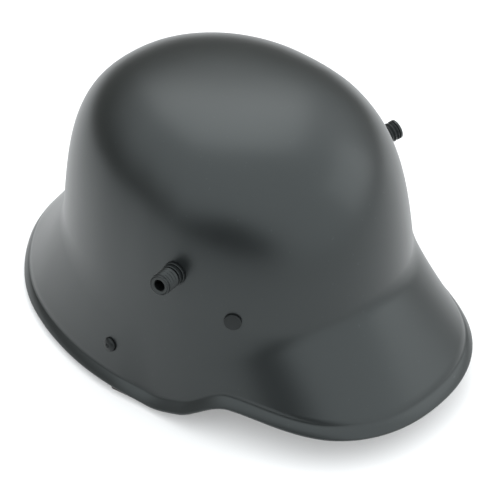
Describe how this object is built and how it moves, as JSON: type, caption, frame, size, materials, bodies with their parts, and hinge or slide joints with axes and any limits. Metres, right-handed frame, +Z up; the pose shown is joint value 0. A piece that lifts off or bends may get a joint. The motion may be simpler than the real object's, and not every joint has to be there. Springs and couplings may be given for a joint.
{
  "type": "stahlhelm",
  "caption": "Steel combat helmet with a visor, a flared neck skirt, a hollow vent lug on each side, rivets and a leather chin strap.",
  "frame": {"origin": "centre of the footprint, on the surface that the helmet rests on", "axes": "+Z up to the crown, -Y to the visor, -X to the wearer's right"},
  "size_m": [0.2214, 0.328, 0.173],
  "materials": {
    "painted_shell": "satin dark slate grey paint",
    "painted_lug": "satin dark slate grey paint",
    "painted_rivet": "satin dark slate grey paint",
    "strap_leather": "matt dark leather"
  },
  "bodies": {
    "root": {"shell": "painted_shell", "vent_lug_right": "painted_lug", "vent_lug_left": "painted_lug", "liner_rivet_right": "painted_rivet", "liner_rivet_left": "painted_rivet", "liner_rivet_rear": "painted_rivet", "chinstrap_rivet_right": "painted_rivet", "chinstrap_rivet_left": "painted_rivet", "chin_strap": "strap_leather"}
  },
  "joints": []
}
